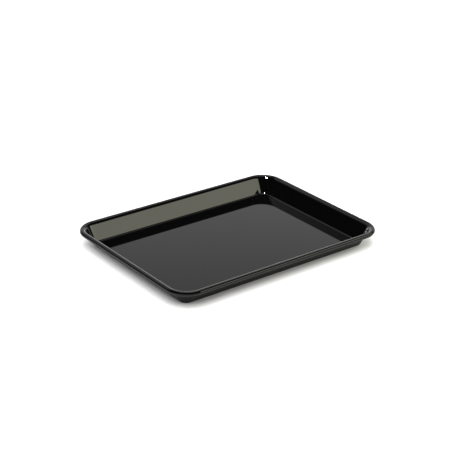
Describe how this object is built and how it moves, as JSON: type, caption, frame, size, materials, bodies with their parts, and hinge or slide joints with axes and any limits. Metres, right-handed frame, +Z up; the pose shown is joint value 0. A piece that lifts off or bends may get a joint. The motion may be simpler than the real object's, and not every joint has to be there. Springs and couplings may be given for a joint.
{
  "type": "shallow rectangular tray",
  "caption": "Shallow flat-bottomed rectangular tray with flared walls, rounded corners and a rim rolled around a stiffening wire.",
  "frame": {"origin": "centre of the underside, on the plane that the tray stands on", "axes": "+X along the long side, +Y along the short side, +Z up out of the open top"},
  "size_m": [0.4, 0.3, 0.029],
  "materials": {
    "enamel": "glossy black vitreous enamel on pressed steel",
    "wire": "plain drawn steel wire"
  },
  "bodies": {
    "root": {"tray_pan": "enamel", "rim_wire": "wire"}
  },
  "joints": []
}
